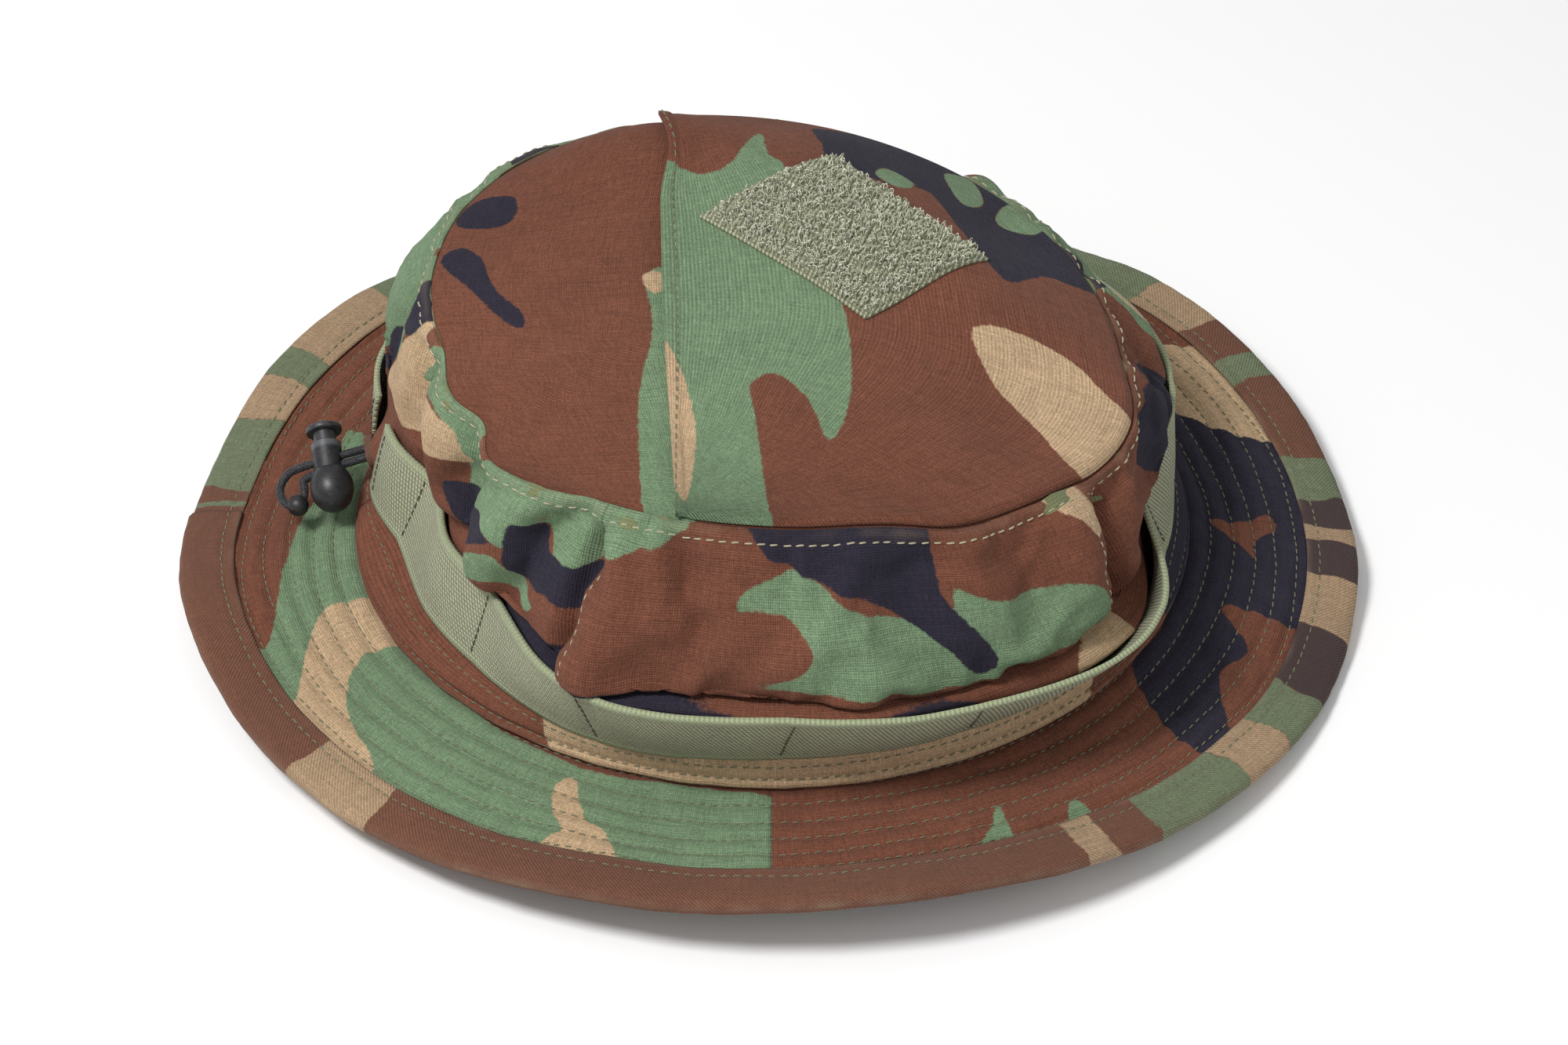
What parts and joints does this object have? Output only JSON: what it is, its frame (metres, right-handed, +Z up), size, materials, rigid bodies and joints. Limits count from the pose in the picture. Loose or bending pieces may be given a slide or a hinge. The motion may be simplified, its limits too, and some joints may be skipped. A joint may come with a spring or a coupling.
{
  "type": "boonie hat",
  "caption": "Soft wide-brimmed camouflage field hat with a webbing loop band, a loop patch on the crown and a sprung cord lock on its rear elastic cord.",
  "frame": {"origin": "middle of the brim's outline, on the surface that the brim rests on", "axes": "+X towards the hat's front, +Y towards the wearer's left, +Z up"},
  "size_m": [0.303, 0.2698, 0.1006],
  "materials": {
    "camo_ripstop": "matt printed woodland camouflage ripstop cloth",
    "binding_cloth": "matt printed camouflage tape",
    "olive_webbing": "matt ribbed elastic webbing",
    "loop_pile": "fuzzy loop pile on a woven backing",
    "thread": "matt twisted thread",
    "inner_tape": "matt plain cotton tape",
    "interlining": "matt stiff felt",
    "elastic_cord": "braided black elastic",
    "black_plastic": "satin moulded plastic",
    "grey_plastic": "satin moulded plastic",
    "spring_steel": "bright wire"
  },
  "bodies": {
    "hat": {"crown_top_panel": "camo_ripstop", "crown_pocket_panel": "camo_ripstop", "side_wall_front": "camo_ripstop", "side_wall_left": "camo_ripstop", "side_wall_rear": "camo_ripstop", "side_wall_right": "camo_ripstop", "crown_edge_tape": "inner_tape", "crown_hem_strip": "camo_ripstop", "webbing_band": "olive_webbing", "webbing_tacks": "thread", "sweatband": "inner_tape", "sizing_cord": "elastic_cord", "cord_eyelet": "thread", "brim_under_front": "camo_ripstop", "brim_under_rear": "camo_ripstop", "brim_interlining_front": "interlining", "brim_interlining_rear": "interlining", "brim_top_front": "camo_ripstop", "brim_top_rear": "camo_ripstop", "brim_binding": "binding_cloth", "loop_patch": "loop_pile", "draw_cord": "elastic_cord", "cord_end_bead": "black_plastic"},
    "cord_lock": {"lock_body": "black_plastic", "lock_spring": "spring_steel"},
    "plunger": {"lock_plunger": "grey_plastic"}
  },
  "joints": [
    {"name": "lock_slide", "type": "slide", "parent": "hat", "child": "cord_lock", "axis": [0.9524, 0.0501, 0.3008], "range_m": [0, 0.003]},
    {"name": "plunger_press", "type": "slide", "parent": "cord_lock", "child": "plunger", "axis": [0.1672, -0.9119, -0.3749], "range_m": [0, 0.003], "stiffness_N_per_m": 800, "springref_m": -0.002, "deforming": ["lock_spring"]}
  ]
}
